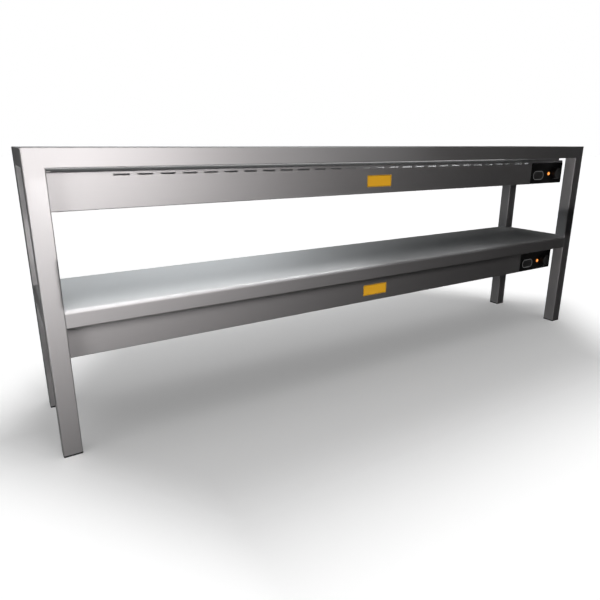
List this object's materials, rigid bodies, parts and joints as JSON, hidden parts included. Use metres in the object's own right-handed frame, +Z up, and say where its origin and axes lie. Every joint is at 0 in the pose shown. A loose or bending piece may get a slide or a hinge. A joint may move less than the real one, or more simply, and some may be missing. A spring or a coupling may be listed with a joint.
{
  "type": "two-tier heated gantry shelf",
  "caption": "Free-standing stainless gantry with two folded shelves on box-section legs, each with a slotted heat lamp casing and knob control hung beneath.",
  "frame": {"origin": "on the floor, at the centre of the footprint", "axes": "+X along the shelves towards the controls, +Y to the rear, +Z up"},
  "size_m": [1.8, 0.3, 0.66],
  "materials": {
    "stainless": "brushed stainless sheet and box section",
    "zinc_plate": "zinc-plated steel",
    "guard_wire": "bright plated wire",
    "bright_aluminium": "bright reflector sheet",
    "ceramic": "unglazed steatite",
    "quartz": "clear quartz tube",
    "black_panel": "black powder coat",
    "regulator_case": "moulded thermoset",
    "knob_plastic": "moulded black plastic",
    "black_plastic": "moulded black plastic",
    "foot_plastic": "moulded black insert",
    "amber_lens": "lit amber indicator lens",
    "terminal_plastic": "moulded terminal strip"
  },
  "bodies": {
    "gantry": {"top_shelf": "stainless", "middle_shelf": "stainless", "leg_front_left": "stainless", "leg_front_right": "stainless", "leg_rear_left": "stainless", "leg_rear_right": "stainless", "foot_front_left": "foot_plastic", "foot_front_right": "foot_plastic", "foot_rear_left": "foot_plastic", "foot_rear_right": "foot_plastic", "upper_stiffener": "stainless", "upper_hangers": "stainless", "upper_heater_casing": "stainless", "upper_end_cap_left": "stainless", "upper_end_cap_right": "stainless", "upper_bulkhead": "zinc_plate", "upper_base_cover": "stainless", "upper_reflector": "bright_aluminium", "upper_lamp_guard": "guard_wire", "upper_lamp_bases": "ceramic", "upper_lampholders": "ceramic", "upper_control_panel": "black_panel", "upper_energy_regulator": "regulator_case", "upper_neon_bezel": "black_plastic", "upper_neon_lens": "amber_lens", "upper_terminal_block": "terminal_plastic", "upper_cable_gland": "black_plastic", "upper_gland_locknut": "black_plastic", "upper_lamp_1": "quartz", "upper_lamp_2": "quartz", "upper_lamp_3": "quartz", "upper_lamp_4": "quartz", "lower_stiffener": "stainless", "lower_hangers": "stainless", "lower_heater_casing": "stainless", "lower_end_cap_left": "stainless", "lower_end_cap_right": "stainless", "lower_bulkhead": "zinc_plate", "lower_base_cover": "stainless", "lower_reflector": "bright_aluminium", "lower_lamp_guard": "guard_wire", "lower_lamp_bases": "ceramic", "lower_lampholders": "ceramic", "lower_control_panel": "black_panel", "lower_energy_regulator": "regulator_case", "lower_neon_bezel": "black_plastic", "lower_neon_lens": "amber_lens", "lower_terminal_block": "terminal_plastic", "lower_cable_gland": "black_plastic", "lower_gland_locknut": "black_plastic", "lower_lamp_1": "quartz", "lower_lamp_2": "quartz", "lower_lamp_3": "quartz", "lower_lamp_4": "quartz"},
    "upper_knob": {"upper_control_knob": "knob_plastic", "upper_regulator_spindle": "zinc_plate"},
    "lower_knob": {"lower_control_knob": "knob_plastic", "lower_regulator_spindle": "zinc_plate"}
  },
  "joints": [
    {"name": "upper_knob_turn", "type": "hinge", "parent": "gantry", "child": "upper_knob", "pos_m": [0.84, -0.0835, 0.564], "axis": [0, 1, 0], "range_deg": [0, 270]},
    {"name": "lower_knob_turn", "type": "hinge", "parent": "gantry", "child": "lower_knob", "pos_m": [0.84, -0.0835, 0.238], "axis": [0, 1, 0], "range_deg": [0, 270]}
  ]
}
